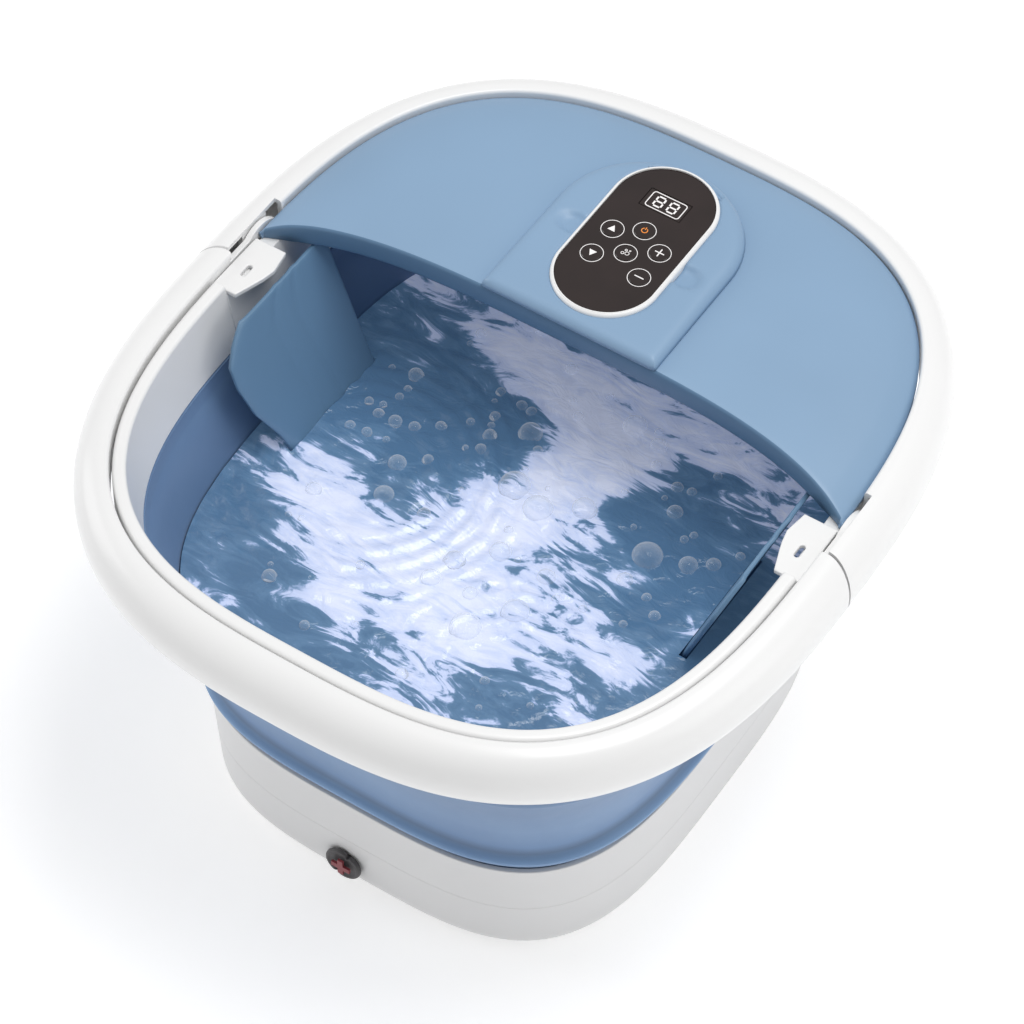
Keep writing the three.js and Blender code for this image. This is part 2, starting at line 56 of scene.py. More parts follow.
# ---- Driving dimensions, in millimetres, as in the CAD part -----------------------------
RIM_HALF_WIDTH = 190.0
EXTRA_HALF_LENGTH = 21.1
RIM_TOP = 245.0
WALL = 2.5
PIVOT_Y, PIVOT_Z = 22.0, 226.0
TONGUE_RADIUS, HANDLE_END_RADIUS = 29.0, 30.0
LIP_END_Y = -20.0
SLOT_END_Y = 40.0
EAR_RADIUS = 17.0
PIN_HOLE_RADIUS = 3.35
LID_HALF_WIDTH, LID_CROWN, LID_BOTTOM = 168.7, 254.0, 237.0
LID_FRONT_Y, LID_FRONT_SWEEP = 42.0, 22.0
CRADLE_TOP = 258.0
CRADLE_HALF_WIDTH, ARCH_Y = 49.0, 112.0
REMOTE_Y, REMOTE_HALF_WIDTH, HALF_STRAIGHT = 104.0, 28.5, 25.5
FACE_TOP = 260.2
KEY_RADIUS = 5.2
DISPLAY_Y = 132.0
FRAME_BOTTOM = 203.0
WATER_LEVEL = 158.0
AROUND = 216


# ---- Outlines ---------------------------------------------------------------------------
def squareness(half_width):
    return 2.69 + 0.0135 * (RIM_HALF_WIDTH - half_width)


def half_length(half_width):
    return half_width + EXTRA_HALF_LENGTH * min(1.0, half_width / 60.0)


def outline_point(half_width, angle):
    """The point of one basin outline in a direction from the middle."""
    if half_width <= 0:
        return 0.0, 0.0
    n = squareness(half_width)
    across = abs(math.cos(angle)) / half_width
    along = abs(math.sin(angle)) / half_length(half_width)
    reach = (across**n + along**n) ** (-1 / n)
    return reach * math.cos(angle), reach * math.sin(angle)


def outline_level(x, y):
    """The half-width of the basin outline that passes through a point."""
    low, high = 0.001, 260.0
    for _ in range(40):
        mid = (low + high) / 2
        n = squareness(mid)
        inside = (abs(x) / mid) ** n + (abs(y) / half_length(mid)) ** n < 1
        low, high = (low, mid) if inside else (mid, high)
    return (low + high) / 2


def arc(centre_r, centre_z, radius_r, radius_z, start, end, steps=10):
    angles = [math.radians(start + (end - start) * i / steps) for i in range(steps + 1)]
    return [(centre_r + radius_r * math.cos(a), centre_z + radius_z * math.sin(a)) for a in angles]


def smooth_line(points, steps=6):
    """A Catmull-Rom line through profile points."""
    ends = [points[0], *points, points[-1]]
    line = []
    for a, b, c, d in zip(ends, ends[1:], ends[2:], ends[3:]):
        for i in range(steps):
            t = i / steps
            line.append(tuple(
                0.5 * (2 * q + (r - p) * t + (2 * p - 5 * q + 4 * r - s) * t * t
                       + (3 * q - p - 3 * r + s) * t**3)
                for p, q, r, s in zip(a, b, c, d)
            ))
    return [*line, points[-1]]


def lerp_table(table, x):
    for (x0, y0), (x1, y1) in zip(table, table[1:]):
        if x <= x1:
            return y0 + (y1 - y0) * max(0.0, (x - x0)) / (x1 - x0)
    return table[-1][1]


# ---- Mesh building ----------------------------------------------------------------------
def make_object(name, verts, faces, smooth=True):
    """A mesh object from points in millimetres."""
    mesh = bpy.data.meshes.new(name)
    mesh.from_pydata([tuple(c * MM for c in v) for v in verts], [], faces)
    mesh.update()
    bm = bmesh.new()
    bm.from_mesh(mesh)
    bmesh.ops.recalc_face_normals(bm, faces=bm.faces)
    for face in bm.faces:
        face.smooth = smooth
    bm.to_mesh(mesh)
    bm.free()
    obj = bpy.data.objects.new(name, mesh)
    bpy.context.scene.collection.objects.link(obj)
    return obj


def grid_faces(rows, columns, wrap_rows, wrap_columns):
    faces = []
    for i in range(rows if wrap_rows else rows - 1):
        for j in range(columns if wrap_columns else columns - 1):
            k, m = (i + 1) % rows, (j + 1) % columns
            faces.append((i * columns + j, i * columns + m, k * columns + m, k * columns + j))
    return faces


def soften(obj, width=0.5, angle=35, segments=2):
    """Rounds sharp edges, found by angle, with a small true bevel."""
    bevel = obj.modifiers.new("edge", "BEVEL")
    bevel.width = width * MM
    bevel.segments = segments
    bevel.limit_method = "ANGLE"
    bevel.angle_limit = math.radians(angle)
    bevel.harden_normals = False
    return obj


def full_ring(name, profile):
    """Sweeps a closed profile of (half-width, height) all the way round."""
    verts = [(*outline_point(r, 2 * math.pi * i / AROUND), z) for i in range(AROUND) for r, z in profile]
    return make_object(name, verts, grid_faces(AROUND, len(profile), True, True))


def filled_ring(name, profile):
    """Like full_ring, for an open profile whose two ends are on the axis."""
    inner = profile[1:-1]
    count = len(inner)
    verts = [(*outline_point(r, 2 * math.pi * i / AROUND), z) for i in range(AROUND) for r, z in inner]
    faces = grid_faces(AROUND, count, True, False)
    verts += [(0, 0, profile[0][1]), (0, 0, profile[-1][1])]
    first, last = AROUND * count, AROUND * count + 1
    for i in range(AROUND):
        k = (i + 1) % AROUND
        faces.append((i * count, k * count, first))
        faces.append((i * count + count - 1, k * count + count - 1, last))
    return make_object(name, verts, faces)


def angle_at_y(half_width, y):
    """Where the right-hand side of an outline crosses a y."""
    low, high = -math.pi / 2, math.pi / 2
    for _ in range(40):
        mid = (low + high) / 2
        low, high = (mid, high) if outline_point(half_width, mid)[1] < y else (low, mid)
    return (low + high) / 2


def part_ring(name, profile, end_y, front):
    """A profile swept round the front or the rear, ending at end_y(height) on both sides."""
    steps = AROUND * 2 // 3
    columns = len(profile)
    verts = []
    starts = [angle_at_y(r, end_y(z)) for r, z in profile]
    for i in range(steps + 1):
        t = i / steps
        for (r, z), start in zip(profile, starts):
            span = -(math.pi + 2 * start) if front else math.pi - 2 * start
            verts.append((*outline_point(r, start + span * t), z))
    faces = grid_faces(steps + 1, columns, False, True)
    faces.append(tuple(range(columns)))
    faces.append(tuple(reversed(range(steps * columns, (steps + 1) * columns))))
    return make_object(name, verts, faces)


def join_meshes(name, objects):
    """One object from several, modifiers left out."""
    bm = bmesh.new()
    for obj in objects:
        bm.from_mesh(obj.data)
        bpy.data.objects.remove(obj)
    mesh = bpy.data.meshes.new(name)
    bm.to_mesh(mesh)
    bm.free()
    obj = bpy.data.objects.new(name, mesh)
    bpy.context.scene.collection.objects.link(obj)
    return obj


def prism(name, outline, z0, z1):
    """An upright solid of a flat outline."""
    n = len(outline)
    verts = [(x, y, z0) for x, y in outline] + [(x, y, z1) for x, y in outline]
    faces = [(i, (i + 1) % n, n + (i + 1) % n, n + i) for i in range(n)]
    faces += [tuple(reversed(range(n))), tuple(range(n, 2 * n))]
    return make_object(name, verts, faces, smooth=False)


def circle(x, y, radius, count=48):
    return [(x + radius * math.cos(2 * math.pi * i / count), y + radius * math.sin(2 * math.pi * i / count))
            for i in range(count)]


def pill_outline(radius, count=96):
    """A pill round the remote's middle, long axis on Y."""
    points = []
    for i in range(count):
        a = 2 * math.pi * i / count
        centre_y = REMOTE_Y + (HALF_STRAIGHT if math.sin(a) >= 0 else -HALF_STRAIGHT)
        points.append((radius * math.cos(a), centre_y + radius * math.sin(a)))
    return points


def pill_loft(name, profile, closed=True, count=128):
    """Sweeps a profile of (radius, height) round the pill."""
    rings = [(pill_outline(r, count), z) for r, z in profile]
    verts = [(*ring[i], z) for i in range(count) for ring, z in rings]
    faces = grid_faces(count, len(profile), True, closed)
    if not closed:
        columns = len(profile)
        faces.append(tuple(i * columns for i in range(count)))
        faces.append(tuple(i * columns + columns - 1 for i in reversed(range(count))))
    return make_object(name, verts, faces)


def apply_boolean(obj, tool, operation="DIFFERENCE"):
    """Cuts with an exact boolean and keeps the result as the mesh."""
    modifier = obj.modifiers.new("cut", "BOOLEAN")
    modifier.operation = operation
    modifier.solver = "EXACT"
    modifier.object = tool
    graph = bpy.context.evaluated_depsgraph_get()
    mesh = bpy.data.meshes.new_from_object(obj.evaluated_get(graph))
    obj.modifiers.remove(modifier)
    obj.data = mesh
    bpy.data.objects.remove(tool)
    return obj


def by_angle(obj, degrees=32):
    """Smooth shading that stays crisp at sharp edges."""
    for polygon in obj.data.polygons:
        polygon.use_smooth = True
    obj.data.set_sharp_from_angle(angle=math.radians(degrees))
    return obj


# ---- Materials --------------------------------------------------------------------------
class Shader:
    """A small helper that builds one Principled material from nodes."""

    def __init__(self, name):
        self.material = bpy.data.materials.new(name)
        self.material.use_nodes = True
        self.nodes = self.material.node_tree.nodes
        self.links = self.material.node_tree.links
        self.bsdf = self.nodes["Principled BSDF"]
        self.coords = self.nodes.new("ShaderNodeTexCoord")

    def set(self, **values):
        for key, value in values.items():
            self.bsdf.inputs[key.replace("_", " ")].default_value = value
        return self

    def noise(self, scale, detail=3.0, stretch=(1, 1, 1), distortion=0.0, roughness=0.5):
        mapping = self.nodes.new("ShaderNodeMapping")
        mapping.inputs["Scale"].default_value = stretch
        texture = self.nodes.new("ShaderNodeTexNoise")
        texture.inputs["Scale"].default_value = scale
        texture.inputs["Detail"].default_value = detail
        texture.inputs["Roughness"].default_value = roughness
        texture.inputs["Distortion"].default_value = distortion
        self.links.new(self.coords.outputs["Object"], mapping.inputs["Vector"])
        self.links.new(mapping.outputs["Vector"], texture.inputs["Vector"])
        return texture.outputs["Fac"]

    def ramp(self, factor, stops, interpolation="LINEAR"):
        ramp = self.nodes.new("ShaderNodeValToRGB")
        ramp.color_ramp.interpolation = interpolation
        elements = ramp.color_ramp.elements
        while len(elements) < len(stops):
            elements.new(0.5)
        for element, (position, colour) in zip(elements, stops):
            element.position = position
            element.color = (*colour, 1) if len(colour) == 3 else colour
        self.links.new(factor, ramp.inputs["Fac"])
        return ramp.outputs["Color"]

    def mix(self, factor, a, b, blend="MIX"):
        node = self.nodes.new("ShaderNodeMix")
        node.data_type = "RGBA"
        node.blend_type = blend
        for socket, value in ((node.inputs["Factor"], factor), (node.inputs[6], a), (node.inputs[7], b)):
            if isinstance(value, (float, tuple)):
                socket.default_value = value if isinstance(value, float) else (*value, 1)
            else:
                self.links.new(value, socket)
        return node.outputs[2]

    def maths(self, operation, a, b=0.5):
        node = self.nodes.new("ShaderNodeMath")
        node.operation = operation
        for socket, value in zip(node.inputs, (a, b)):
            if isinstance(value, (int, float)):
                socket.default_value = value
            else:
                self.links.new(value, socket)
        return node.outputs[0]

    def span(self, factor, low, high):
        """A roughness or other value that varies between two numbers."""
        node = self.nodes.new("ShaderNodeMapRange")
        node.inputs["To Min"].default_value = low
        node.inputs["To Max"].default_value = high
        self.links.new(factor, node.inputs["Value"])
        return node.outputs[0]

    def bump(self, height, strength, distance=0.0002):
        node = self.nodes.new("ShaderNodeBump")
        node.inputs["Strength"].default_value = strength
        node.inputs["Distance"].default_value = distance
        self.links.new(height, node.inputs["Height"])
        self.links.new(node.outputs["Normal"], self.bsdf.inputs["Normal"])
        return self

    def link(self, output, socket):
        self.links.new(output, self.bsdf.inputs[socket])
        return self

    def height(self):
        """The Z coordinate in metres."""
        split = self.nodes.new("ShaderNodeSeparateXYZ")
        self.links.new(self.coords.outputs["Object"], split.inputs[0])
        return split.outputs["Z"]


def tinted(colour, factor):
    return tuple(min(1.0, c * factor) for c in colour)


def moulded_plastic(name, colour, roughness, grain=900.0, strength=0.05, variation=0.04, coat=0.0):
    """Injection-moulded plastic: a slow colour drift, fine mould texture and uneven gloss."""
    shader = Shader(name)
    drift = shader.noise(9.0, 2.0)
    fine = shader.noise(grain, 4.0)
    colours = [(0.3, tinted(colour, 1 - variation)), (0.7, tinted(colour, 1 + variation))]
    shader.link(shader.ramp(drift, colours), "Base Color")
    shader.link(shader.span(shader.noise(60.0, 5.0), roughness * 0.88, roughness * 1.12), "Roughness")
    shader.bump(fine, strength, 0.00012)
    shader.set(Coat_Weight=coat, Coat_Roughness=0.12, Specular_IOR_Level=0.5)
    return shader.material


def brushed_metal(name, colour, roughness=0.28):
    shader = Shader(name)
    streaks = shader.noise(700.0, 3.0, stretch=(0.05, 1, 1))
    shader.link(shader.ramp(streaks, [(0.3, tinted(colour, 0.85)), (0.7, tinted(colour, 1.1))]), "Base Color")
    shader.link(shader.span(streaks, roughness * 0.8, roughness * 1.3), "Roughness")
    shader.bump(streaks, 0.1, 0.0001)
    shader.set(Metallic=1.0)
    return shader.material


def glossy_face(name, colour):
    """Polished smoked acrylic with very faint dust and haze."""
    shader = Shader(name)
    haze = shader.noise(40.0, 4.0)
    shader.link(shader.ramp(haze, [(0.3, tinted(colour, 0.85)), (0.75, tinted(colour, 1.25))]), "Base Color")
    shader.link(shader.span(shader.noise(260.0, 4.0), 0.05, 0.11), "Roughness")
    shader.set(Coat_Weight=0.25, Coat_Roughness=0.03, Specular_IOR_Level=0.5)
    return shader.material


def printed_ink(name, colour, glow=0.0):
    shader = Shader(name)
    speckle = shader.noise(1500.0, 2.0)
    shader.link(shader.ramp(speckle, [(0.3, tinted(colour, 0.9)), (0.7, colour)]), "Base Color")
    shader.link(shader.span(speckle, 0.3, 0.45), "Roughness")
    # The glow is painted light: the print glows a little though it is no lamp.
    shader.set(Emission_Color=(*colour, 1), Emission_Strength=glow)
    return shader.material


def bellows_rubber(name):
    """Silky elastomer, lighter and darker by height in painted light and shade: a painted highlight on the
    fold's ridge, painted shade in the crease above it and on the strip below it, and a painted lighter wall
    above that fades higher up.
    """
    shader = Shader(name)
    cloud = shader.noise(14.0, 3.0)
    body = shader.ramp(cloud, [(0.3, (0.12, 0.205, 0.36)), (0.7, (0.14, 0.235, 0.395))])
    level = shader.nodes.new("ShaderNodeMapRange")
    level.inputs["From Min"].default_value, level.inputs["From Max"].default_value = 0.079, 0.139
    shader.links.new(shader.height(), level.inputs["Value"])
    # Painted light and shade by height: a painted highlight on the fold's ridge, painted shade in the crease
    # and on the strip below.
    painted_fold_light = [(0.0, (0.85,) * 3), (0.15, (0.95,) * 3), (0.175, (1.5, 1.5, 1.45)), (0.21, (1.45, 1.45, 1.4)),
             (0.26, (0.8,) * 3), (0.34, (1.2,) * 3), (0.6, (1.35, 1.3, 1.25)), (1.0, (1.0,) * 3)]
    shader.link(shader.mix(1.0, body, shader.ramp(level.outputs[0], painted_fold_light), "MULTIPLY"), "Base Color")
    shader.link(shader.span(shader.noise(120.0, 4.0), 0.36, 0.5), "Roughness")
    shader.bump(shader.noise(1400.0, 3.0), 0.06, 0.0001)
    shader.set(Sheen_Weight=0.25, Sheen_Roughness=0.4, Sheen_Tint=(0.7, 0.8, 1.0, 1.0))
    return shader.material


def circuit(name):
    shader = Shader(name)
    traces = shader.noise(180.0, 0.0, stretch=(1, 0.2, 1))
    colours = [(0.47, (0.012, 0.11, 0.05)), (0.5, (0.03, 0.2, 0.09)), (0.53, (0.012, 0.11, 0.05))]
    shader.link(shader.ramp(traces, colours), "Base Color")
    shader.set(Roughness=0.35)
    return shader.material


FINE_MOULD = {"grain": 1100, "strength": 0.03, "variation": 0.012}
WHITE = moulded_plastic("white_plastic", (0.86, 0.86, 0.855), 0.3, coat=0.15, **FINE_MOULD)
# The base's white plastic, painted darker than the rim's white: painted shade standing in for the shade the
# base sits in.
BASE_WHITE_SHADED = moulded_plastic("base_white_painted_shade", (0.70, 0.70, 0.70), 0.34, **FINE_MOULD)
LID_BLUE = moulded_plastic("lid_blue_plastic", (0.24, 0.372, 0.535), 0.42, strength=0.07)
# A darker copy of the lid blue for the lid's front lip: painted shade on the face turned away from the light.
LID_EDGE_SHADE = moulded_plastic("lid_edge_painted_shade", (0.10, 0.195, 0.32), 0.42, strength=0.07)
DEEP_BLUE = moulded_plastic("deep_blue_plastic", (0.13, 0.245, 0.385), 0.38)
GREY = moulded_plastic("grey_plastic", (0.055, 0.052, 0.055), 0.45)
RED = moulded_plastic("red_plastic", (0.25, 0.045, 0.055), 0.45)
BLACK = moulded_plastic("black_plastic", (0.014, 0.014, 0.015), 0.5)
RUBBER = moulded_plastic("black_rubber", (0.017, 0.017, 0.018), 0.75, grain=2200, strength=0.2)
STEEL = brushed_metal("steel", (0.6, 0.61, 0.63))
ALUMINIUM = brushed_metal("heater_aluminium", (0.72, 0.73, 0.74), 0.35)
BELLOWS = bellows_rubber("bellows_elastomer")
FACE = glossy_face("smoked_acrylic", (0.020, 0.012, 0.011))
# Both inks glow a little: painted light.
INK = printed_ink("pale_ink", (0.83, 0.81, 0.80), 0.25)
ORANGE_INK = printed_ink("orange_ink", (0.75, 0.25, 0.045), 0.35)
BOARD = circuit("circuit_board")


def finish_piece(obj, material, body, slot_name, *nodes):
    """Gives a new piece its material and body, and hides the CAD nodes it stands for; its record slot
    (slot_name) is not used.
    """
    obj.data.materials.clear()
    obj.data.materials.append(material)
    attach(obj, body)
    if nodes:
        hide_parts(*nodes)
    return obj


# ---- Camera, light and stage ------------------------------------------------------------
CAMERA_AZIMUTH, CAMERA_ELEVATION, CAMERA_DISTANCE = 32.76, 52.29, 2.0637
CAMERA_LENS, CAMERA_ROLL = 143.15, 0.52


def make_camera():
    azimuth, elevation = math.radians(CAMERA_AZIMUTH), math.radians(CAMERA_ELEVATION)
    back = Vector((math.sin(azimuth) * math.cos(elevation), -math.cos(azimuth) * math.cos(elevation),
                   math.sin(elevation)))
    level = Vector((math.cos(azimuth), math.sin(azimuth), 0))
    lift = back.cross(level)
    roll = math.radians(CAMERA_ROLL)
    right = level * math.cos(roll) + lift * math.sin(roll)
    up = lift * math.cos(roll) - level * math.sin(roll)
    target = Vector((0, 0.0051, 0.12))
    place = target + back * CAMERA_DISTANCE
    aim = target - right * 0.00607 + up * 0.01767
    z_axis = (place - aim).normalized()
    x_axis = up.cross(z_axis).normalized()
    y_axis = z_axis.cross(x_axis)
    data = bpy.data.cameras.new("camera")
    data.lens = CAMERA_LENS
    data.sensor_width = 36.0
    data.clip_end = 50
    camera = bpy.data.objects.new("camera", data)
    camera.matrix_world = Matrix.Translation(place) @ Matrix((x_axis, y_axis, z_axis)).transposed().to_4x4()
    bpy.context.scene.collection.objects.link(camera)
    bpy.context.scene.camera = camera


def area_light(name, place, aim, size, power, colour=(1, 1, 1)):
    data = bpy.data.lights.new(name, "AREA")
    data.shape = "RECTANGLE"
    data.size, data.size_y = size
    data.energy = power
    data.color = colour
    light = bpy.data.objects.new(name, data)
    light.location = place
    light.rotation_euler = (Vector(aim) - Vector(place)).to_track_quat("-Z", "Y").to_euler()
    bpy.context.scene.collection.objects.link(light)


def make_stage():
    scene = bpy.context.scene
    scene.view_settings.view_transform = "Standard"
    world = bpy.data.worlds.new("studio")
    world.use_nodes = True
    world.node_tree.nodes["Background"].inputs["Color"].default_value = (0.99, 0.99, 1.0, 1)
    world.node_tree.nodes["Background"].inputs["Strength"].default_value = 0.5
    scene.world = world
    area_light("top_softbox", (0.35, 0.25, 1.9), (0, 0, 0.2), (1.1, 0.9), 17)
    area_light("right_softbox", (1.7, 0.3, 1.1), (0, 0, 0.15), (1.0, 1.2), 4)
    area_light("left_softbox", (-1.7, -0.4, 0.9), (0, 0, 0.15), (1.0, 1.2), 7)
    size = 6000
    corners = [(-size, -size, 0), (size, -size, 0), (size, size, 0), (-size, size, 0)]
    floor = make_object("studio_floor", corners, [(0, 1, 2, 3)])
    shader = Shader("studio_white")
    whites = [(0.3, (0.93, 0.93, 0.93)), (0.7, (0.95, 0.95, 0.95))]
    shader.link(shader.ramp(shader.noise(1.5), whites), "Base Color")
    shader.set(Roughness=0.9, Emission_Color=(1, 1, 1, 1), Emission_Strength=0.32)
    floor.data.materials.append(shader.material)


# ---- Base -------------------------------------------------------------------------------
def make_base():
    profile = [
        (112.2, 2), *arc(115, 14, 12, 12, -88, 0), (127.0, 14.3),
        (128.35, 42.1), (128.22, 42.3), (128.22, 42.6),
        (128.4, 42.8), *[(128.4 + 1.5 * i / 6, 43 + 33.2 * i / 6) for i in range(1, 7)],
        *arc(129.4, 76.7, 0.6, 0.8, 0, 90, 4), *arc(127.8, 76.9, 0.6, 0.6, 90, 180, 4),
        (127.2, 54), (125, 15), *arc(118, 15, 7, 7, 0, -90, 4), (98, 8), (98, 5), (112.2, 5),
    ]
    base = full_ring("base_shell_skin", profile)
    tools = [round_tool("y", (-6.5, 22.0), -160, -120, 7.5), round_tool("y", (60.0, 24.0), 120, 160, 5.4)]
    for tool in tools:
        apply_boolean(base, tool)
    by_angle(base, 30)
    finish_piece(base, BASE_WHITE_SHADED, "base", "white_shell", "base_shell")


def round_tool(axis, centre, start, end, radius, count=48):
    """A plain cylinder used only as a boolean tool."""
    turn = circle(0, 0, radius, count)
    ends = []
    for level in (start, end):
        for a, b in turn:
            points = {"x": (level, centre[0] + a, centre[1] + b), "y": (centre[0] + a, level, centre[1] + b),
                      "z": (centre[0] + a, centre[1] + b, level)}
            ends.append(points[axis])
    faces = [(i, (i + 1) % count, count + (i + 1) % count, count + i) for i in range(count)]
    faces += [tuple(reversed(range(count))), tuple(range(count, 2 * count))]
    return make_object("tool", ends, faces, smooth=False)


def make_tub():
    profile = [
        (0, 30), (60, 30), *arc(112, 42, 12, 12, -90, 0), (124, 76), (121.6, 76),
        *arc(109.6, 45, 12, 12, 0, -90), (60, 33), (0, 33),
    ]
    tub = filled_ring("foot_tub_skin", profile)
    apply_boolean(tub, round_tool("z", (-6.5, -122.0), 20, 40, 5))
    by_angle(tub, 30)
    finish_piece(tub, DEEP_BLUE, "base", "deep_blue_plastic", "foot_tub")


BELLOWS_LINE = [
    (126.8, 62), (126.8, 78.6), (128.6, 82), (133.2, 87.6), (133.9, 89.6), (133.2, 91.2), (130.9, 93.6),
    (130.0, 98), (130.6, 106), (133.2, 124), (140.8, 148), (142.3, 152.5), (142.4, 156), (142.2, 160),
    (149.2, 185), (154.4, 195.4), (155.5, 199.4),
]


def make_bellows():
    line = smooth_line(BELLOWS_LINE, 5)
    inner = [(r - 2.1, z) for r, z in smooth_line(BELLOWS_LINE[:-1], 5)][::-1]
    profile = [*line, (161.8, 199.4), (161.8, 202.6), (153.6, 202.6), *inner]
    bellows = full_ring("bellows_skin", profile)
    by_angle(bellows, 45)
    finish_piece(bellows, BELLOWS, "base", "bellows_blue", "bellows")
    squash_down(bellows)


def squash_down(piece):
    """Gives a piece its own copy of its mesh."""
    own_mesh(piece)


# ---- Rim --------------------------------------------------------------------------------
def band_profile(inner):
    """The hollow outer band: a rounded hook, open on its inner underside."""
    shoulder = RIM_TOP - 17
    side = RIM_HALF_WIDTH - WALL
    return [
        (inner, 228), (inner, 243.0), *arc(inner + 1.8, 243.2, 1.8, 1.8, 180, 90, 5), (171.6, RIM_TOP),
        *arc(172.5, shoulder, 17.5, 17, 90, 0, 20), *arc(174, 226, 16, 16, 0, -90, 16),
        *arc(174, 211.25, 1.25, 1.25, -90, -270, 5), *arc(174, 226, side - 174, 13.5, -90, 0, 10),
        *arc(172.5, shoulder, 15, 14.5, 0, 90, 10), (inner + WALL, 242.5), (inner + WALL, 228),
    ]


def end_arc(radius):
    """The height-dependent y of the round joint between the handle and the rear shell."""
    return lambda z: PIVOT_Y - math.sqrt(max(1.0, radius**2 - (z - PIVOT_Z) ** 2))


def make_outer_band():
    handle = part_ring("handle_band", band_profile(169.2), end_arc(HANDLE_END_RADIUS), True)
    ears = [ear(sign) for sign in (-1, 1)]
    handle = join_meshes("carry_handle_skin", [handle, *ears])
    soften(by_angle(handle), 0.35, 50)
    finish_piece(handle, WHITE, "handle", "white_shell", "carry_handle")
    shell = part_ring("shell_band", band_profile(169.5), end_arc(TONGUE_RADIUS), False)
    for sign in (-1, 1):
        x0, x1 = sorted((sign * 160, sign * 173))
        slot = [(x0, -40), (x1, -40), (x1, SLOT_END_Y), (x0, SLOT_END_Y)]
        apply_boolean(shell, prism("tool", slot, 200, 260))
    bosses = []
    for sign in (-1, 1):
        x0, x1 = sorted((sign * 173, sign * 176.2))
        outline = [(x0, PIVOT_Y - 10), (x1, PIVOT_Y - 10), (x1, PIVOT_Y + 10), (x0, PIVOT_Y + 10)]
        boss = prism("boss", outline, 216, 242.6)
        bosses.append(apply_boolean(boss, round_tool("x", (PIVOT_Y, PIVOT_Z), -200, 200, PIN_HOLE_RADIUS)))
    shell = join_meshes("rear_rim_shell_skin", [shell, *bosses])
    soften(by_angle(shell), 0.35, 50)
    finish_piece(shell, WHITE, "rim", "white_shell", "rear_rim_shell")


def ear(sign):
    """The flat plate by which the handle turns on its pin."""
    outline = [(-34, PIVOT_Z + 14), (-34, PIVOT_Z - 12), (PIVOT_Y - 12, PIVOT_Z - 12)]
    outline += [(PIVOT_Y + EAR_RADIUS * math.cos(a), PIVOT_Z + EAR_RADIUS * math.sin(a))
                for a in (math.radians(-130 + 254 * i / 28) for i in range(29))]
    count = len(outline)
    x0, x1 = sign * 169.3, sign * 172.3
    verts = [(x0, y, z) for y, z in outline] + [(x1, y, z) for y, z in outline]
    faces = [(i, (i + 1) % count, count + (i + 1) % count, count + i) for i in range(count)]
    faces += [tuple(reversed(range(count))), tuple(range(count, 2 * count))]
    plate = make_object("ear", verts, faces, smooth=False)
    return apply_boolean(plate, round_tool("x", (PIVOT_Y, PIVOT_Z), -200, 200, PIN_HOLE_RADIUS))


def make_rim_frame():
    lower = [(165.6, 208), (168.2, 208), (167.8, 236.6)]
    inner_wall = [(157.2, 205.4), (163, 205.4), (163, FRAME_BOTTOM), (154.9, FRAME_BOTTOM),
                  (154.3, 203.7), (159.6, 236.6)]
    lip = [(167.7, 239.5), *arc(165.0, 240.8, 2.6, 2.2, 0, 90, 6), *arc(162.2, 240.9, 2.1, 2.1, 90, 178, 6)]
    inside = inner_wall[::-1]
    front_profile = [*lower, *lip, *inside, (162.3, 239.0), (164.2, 239.0)]
    rear_profile = [*lower, *inside, (162.1, 234.6), (164.4, 234.6)]
    front = part_ring("frame_front", front_profile, lambda z: LIP_END_Y, True)
    rear = part_ring("frame_rear", rear_profile, lambda z: LIP_END_Y, False)
    rim = join_meshes("rim_frame_skin", [front, rear])
    soften(by_angle(rim), 0.4, 50)
    finish_piece(rim, WHITE, "rim", "white_shell", "rim_frame")


# Where the guard's front edge is, from its top (0) to its bottom (1).
GUARD_FRONT = [(0, -30), (0.08, -40), (0.18, -47.5), (0.33, -48), (0.55, -44), (0.8, -34), (1, -30)]


def make_side_guard(side, sign):
    """The blue splash guard, with the shallow upright creases and the rolled front edge."""
    rows, columns = 34, 40
    verts = []
    for i in range(rows):
        v = i / (rows - 1)
        z = 236 - 86 * v
        front = lerp_table(GUARD_FRONT, v)
        for j in range(columns):
            u = j / (columns - 1)
            y = front + (40 - front) * u
            crease = 0.5 * math.exp(-(((u - 0.42) / 0.03) ** 2)) + 0.5 * math.exp(-(((u - 0.62) / 0.03) ** 2))
            curl = 1.2 * math.exp(-u * 26)
            x = 147 - (236 - z) * (147 - 116.5) / 86 - 3.0 + crease + curl
            verts.append((sign * x, y, z))
    guard = make_object(f"side_guard_{side}_skin", verts, grid_faces(rows, columns, False, False))
    thickness = guard.modifiers.new("wall", "SOLIDIFY")
    thickness.thickness = 2.4 * MM
    thickness.offset = 0
    soften(guard, 0.6, 50)
    finish_piece(guard, DEEP_BLUE, "rim", "deep_blue_plastic", f"side_guard_{side}")


def make_hinge_shelf(side, sign):
    outline = [(sign * x, y) for x, y in
               [(168.6, -19.6), (168.2, 17), (150, 17), (148, 4), (149.4, -3), (151, -8), (155, -19.6)]]
    shelf = prism(f"hinge_shelf_{side}_skin", outline, 236.9, 239.8)
    slot = [(sign * 159.5 + 1.5 * math.cos(a), (-1 if math.sin(a) >= 0 else -6) + 1.5 * math.sin(a))
            for a in (2 * math.pi * (i + 0.5) / 24 for i in range(24))]
    apply_boolean(shelf, prism("tool", slot, 230, 250))
    soften(by_angle(shelf), 0.6, 40, 3)
    finish_piece(shelf, WHITE, "rim", "white_shell", f"hinge_shelf_{side}")


